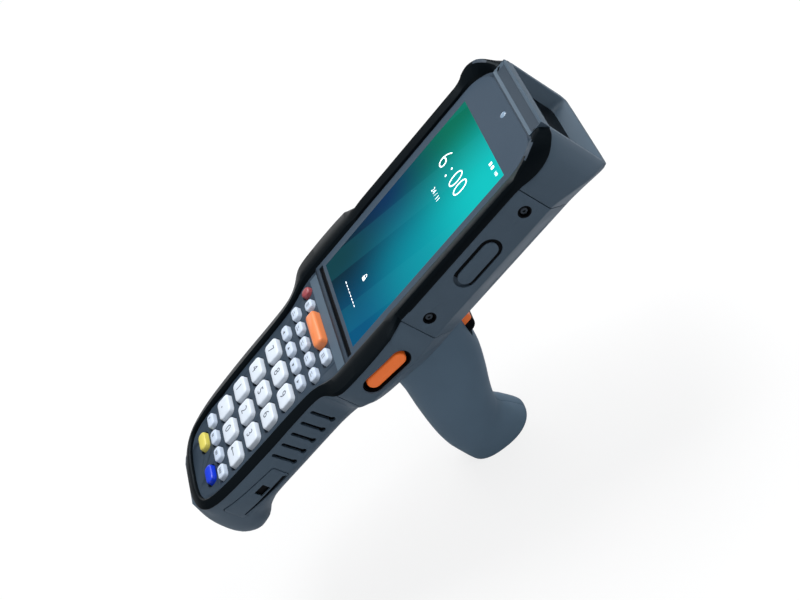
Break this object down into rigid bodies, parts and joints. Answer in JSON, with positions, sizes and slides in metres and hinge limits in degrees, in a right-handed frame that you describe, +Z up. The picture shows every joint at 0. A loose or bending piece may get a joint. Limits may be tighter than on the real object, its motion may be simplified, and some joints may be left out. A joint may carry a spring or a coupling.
{
  "type": "portable barcode data terminal",
  "caption": "Handheld data terminal with a touch screen, a keypad handle, a scan head at the front and a pistol grip with a trigger.",
  "frame": {"origin": "centre of the grip foot's flat face, on the plane it stands on", "axes": "+Z up with the terminal standing on its grip foot, +Y towards the scan head, +X to the user's right; the display faces up, tilted 12 degrees towards the user"},
  "size_m": [0.0904, 0.2335, 0.1357],
  "materials": {
    "housing": "fine matt texture",
    "elastomer": "satin overmould",
    "touch_glass": "polished",
    "display": "polished",
    "lens": "polished",
    "battery": "wrapped",
    "board": "matt",
    "scan_glass": "polished",
    "engine": "matt",
    "port_metal": "satin",
    "screw_steel": "black oxide",
    "scan_orange": "satin",
    "key_white": "satin",
    "key_grey": "satin",
    "key_red": "satin",
    "key_yellow": "satin",
    "key_blue": "satin"
  },
  "bodies": {
    "terminal": {"front_frame": "housing", "head_cap": "housing", "rear_cover": "housing", "button_housing": "housing", "handle_shell": "housing", "battery_cover": "housing", "dock_inserts": "housing", "grip_plate": "housing", "grip_shell_right": "housing", "grip_shell_left": "housing", "grip_base": "housing", "bumper_band": "elastomer", "touch_glass": "touch_glass", "display_panel": "display", "status_lens": "lens", "battery_pack": "battery", "main_board": "board", "key_board": "board", "keypad_mat": "elastomer", "scan_window": "scan_glass", "scan_engine": "engine", "side_port": "port_metal", "side_screws": "screw_steel", "trigger_pin": "screw_steel", "trigger_switch": "engine"},
    "key_power_cap": {"key_power": "key_red"},
    "key_menu_cap": {"key_menu": "key_grey"},
    "key_scan_cap": {"key_scan": "scan_orange"},
    "key_clear_cap": {"key_clear": "key_grey"},
    "key_soft_1_cap": {"key_soft_1": "key_grey"},
    "key_soft_2_cap": {"key_soft_2": "key_grey"},
    "key_soft_3_cap": {"key_soft_3": "key_grey"},
    "key_soft_4_cap": {"key_soft_4": "key_grey"},
    "key_soft_5_cap": {"key_soft_5": "key_grey"},
    "key_left_cap": {"key_left": "key_grey"},
    "key_up_cap": {"key_up": "key_grey"},
    "key_down_cap": {"key_down": "key_grey"},
    "key_right_cap": {"key_right": "key_grey"},
    "key_7_cap": {"key_7": "key_white"},
    "key_8_cap": {"key_8": "key_white"},
    "key_9_cap": {"key_9": "key_white"},
    "key_4_cap": {"key_4": "key_white"},
    "key_5_cap": {"key_5": "key_white"},
    "key_6_cap": {"key_6": "key_white"},
    "key_1_cap": {"key_1": "key_white"},
    "key_2_cap": {"key_2": "key_white"},
    "key_3_cap": {"key_3": "key_white"},
    "key_dot_cap": {"key_dot": "key_white"},
    "key_0_cap": {"key_0": "key_white"},
    "key_delete_cap": {"key_delete": "key_white"},
    "key_fn_1_cap": {"key_fn_1": "key_grey"},
    "key_fn_2_cap": {"key_fn_2": "key_grey"},
    "key_fn_3_cap": {"key_fn_3": "key_grey"},
    "key_fn_4_cap": {"key_fn_4": "key_grey"},
    "key_yellow_cap": {"key_yellow": "key_yellow"},
    "key_blue_cap": {"key_blue": "key_blue"},
    "trigger_lever": {"trigger": "scan_orange"},
    "port_flap": {"port_cover": "housing"},
    "scan_button_right": {"side_button_right": "scan_orange"},
    "scan_button_left": {"side_button_left": "scan_orange"}
  },
  "joints": [
    {"name": "key_power_press", "type": "slide", "parent": "terminal", "child": "key_power_cap", "axis": [0, 0.2079, -0.9781], "range_m": [0, 0.001], "stiffness_N_per_m": 1500},
    {"name": "key_menu_press", "type": "slide", "parent": "terminal", "child": "key_menu_cap", "axis": [0, 0.2079, -0.9781], "range_m": [0, 0.001], "stiffness_N_per_m": 1500},
    {"name": "key_scan_press", "type": "slide", "parent": "terminal", "child": "key_scan_cap", "axis": [0, 0.2079, -0.9781], "range_m": [0, 0.001], "stiffness_N_per_m": 1500},
    {"name": "key_clear_press", "type": "slide", "parent": "terminal", "child": "key_clear_cap", "axis": [0, 0.2079, -0.9781], "range_m": [0, 0.001], "stiffness_N_per_m": 1500},
    {"name": "key_soft_1_press", "type": "slide", "parent": "terminal", "child": "key_soft_1_cap", "axis": [0, 0.2079, -0.9781], "range_m": [0, 0.001], "stiffness_N_per_m": 1500},
    {"name": "key_soft_2_press", "type": "slide", "parent": "terminal", "child": "key_soft_2_cap", "axis": [0, 0.2079, -0.9781], "range_m": [0, 0.001], "stiffness_N_per_m": 1500},
    {"name": "key_soft_3_press", "type": "slide", "parent": "terminal", "child": "key_soft_3_cap", "axis": [0, 0.2079, -0.9781], "range_m": [0, 0.001], "stiffness_N_per_m": 1500},
    {"name": "key_soft_4_press", "type": "slide", "parent": "terminal", "child": "key_soft_4_cap", "axis": [0, 0.2079, -0.9781], "range_m": [0, 0.001], "stiffness_N_per_m": 1500},
    {"name": "key_soft_5_press", "type": "slide", "parent": "terminal", "child": "key_soft_5_cap", "axis": [0, 0.2079, -0.9781], "range_m": [0, 0.001], "stiffness_N_per_m": 1500},
    {"name": "key_left_press", "type": "slide", "parent": "terminal", "child": "key_left_cap", "axis": [0, 0.2079, -0.9781], "range_m": [0, 0.001], "stiffness_N_per_m": 1500},
    {"name": "key_up_press", "type": "slide", "parent": "terminal", "child": "key_up_cap", "axis": [0, 0.2079, -0.9781], "range_m": [0, 0.001], "stiffness_N_per_m": 1500},
    {"name": "key_down_press", "type": "slide", "parent": "terminal", "child": "key_down_cap", "axis": [0, 0.2079, -0.9781], "range_m": [0, 0.001], "stiffness_N_per_m": 1500},
    {"name": "key_right_press", "type": "slide", "parent": "terminal", "child": "key_right_cap", "axis": [0, 0.2079, -0.9781], "range_m": [0, 0.001], "stiffness_N_per_m": 1500},
    {"name": "key_7_press", "type": "slide", "parent": "terminal", "child": "key_7_cap", "axis": [0, 0.2079, -0.9781], "range_m": [0, 0.001], "stiffness_N_per_m": 1500},
    {"name": "key_8_press", "type": "slide", "parent": "terminal", "child": "key_8_cap", "axis": [0, 0.2079, -0.9781], "range_m": [0, 0.001], "stiffness_N_per_m": 1500},
    {"name": "key_9_press", "type": "slide", "parent": "terminal", "child": "key_9_cap", "axis": [0, 0.2079, -0.9781], "range_m": [0, 0.001], "stiffness_N_per_m": 1500},
    {"name": "key_4_press", "type": "slide", "parent": "terminal", "child": "key_4_cap", "axis": [0, 0.2079, -0.9781], "range_m": [0, 0.001], "stiffness_N_per_m": 1500},
    {"name": "key_5_press", "type": "slide", "parent": "terminal", "child": "key_5_cap", "axis": [0, 0.2079, -0.9781], "range_m": [0, 0.001], "stiffness_N_per_m": 1500},
    {"name": "key_6_press", "type": "slide", "parent": "terminal", "child": "key_6_cap", "axis": [0, 0.2079, -0.9781], "range_m": [0, 0.001], "stiffness_N_per_m": 1500},
    {"name": "key_1_press", "type": "slide", "parent": "terminal", "child": "key_1_cap", "axis": [0, 0.2079, -0.9781], "range_m": [0, 0.001], "stiffness_N_per_m": 1500},
    {"name": "key_2_press", "type": "slide", "parent": "terminal", "child": "key_2_cap", "axis": [0, 0.2079, -0.9781], "range_m": [0, 0.001], "stiffness_N_per_m": 1500},
    {"name": "key_3_press", "type": "slide", "parent": "terminal", "child": "key_3_cap", "axis": [0, 0.2079, -0.9781], "range_m": [0, 0.001], "stiffness_N_per_m": 1500},
    {"name": "key_dot_press", "type": "slide", "parent": "terminal", "child": "key_dot_cap", "axis": [0, 0.2079, -0.9781], "range_m": [0, 0.001], "stiffness_N_per_m": 1500},
    {"name": "key_0_press", "type": "slide", "parent": "terminal", "child": "key_0_cap", "axis": [0, 0.2079, -0.9781], "range_m": [0, 0.001], "stiffness_N_per_m": 1500},
    {"name": "key_delete_press", "type": "slide", "parent": "terminal", "child": "key_delete_cap", "axis": [0, 0.2079, -0.9781], "range_m": [0, 0.001], "stiffness_N_per_m": 1500},
    {"name": "key_fn_1_press", "type": "slide", "parent": "terminal", "child": "key_fn_1_cap", "axis": [0, 0.2079, -0.9781], "range_m": [0, 0.001], "stiffness_N_per_m": 1500},
    {"name": "key_fn_2_press", "type": "slide", "parent": "terminal", "child": "key_fn_2_cap", "axis": [0, 0.2079, -0.9781], "range_m": [0, 0.001], "stiffness_N_per_m": 1500},
    {"name": "key_fn_3_press", "type": "slide", "parent": "terminal", "child": "key_fn_3_cap", "axis": [0, 0.2079, -0.9781], "range_m": [0, 0.001], "stiffness_N_per_m": 1500},
    {"name": "key_fn_4_press", "type": "slide", "parent": "terminal", "child": "key_fn_4_cap", "axis": [0, 0.2079, -0.9781], "range_m": [0, 0.001], "stiffness_N_per_m": 1500},
    {"name": "key_yellow_press", "type": "slide", "parent": "terminal", "child": "key_yellow_cap", "axis": [0, 0.2079, -0.9781], "range_m": [0, 0.001], "stiffness_N_per_m": 1500},
    {"name": "key_blue_press", "type": "slide", "parent": "terminal", "child": "key_blue_cap", "axis": [0, 0.2079, -0.9781], "range_m": [0, 0.001], "stiffness_N_per_m": 1500},
    {"name": "trigger_pull", "type": "hinge", "parent": "terminal", "child": "trigger_lever", "pos_m": [0, 0.02743, 0.07105], "axis": [-1, 0, 0], "range_deg": [0, 7], "stiffness_Nm_per_rad": 0.3},
    {"name": "port_cover_open", "type": "hinge", "parent": "terminal", "child": "port_flap", "pos_m": [0.039, 0.04929, 0.10913], "axis": [0, 0.2079, -0.9781], "range_deg": [0, 110]},
    {"name": "side_button_right_press", "type": "slide", "parent": "terminal", "child": "scan_button_right", "axis": [-1, 0, 0], "range_m": [0, 0.001], "stiffness_N_per_m": 2000},
    {"name": "side_button_left_press", "type": "slide", "parent": "terminal", "child": "scan_button_left", "axis": [1, 0, 0], "range_m": [0, 0.001], "stiffness_N_per_m": 2000}
  ]
}
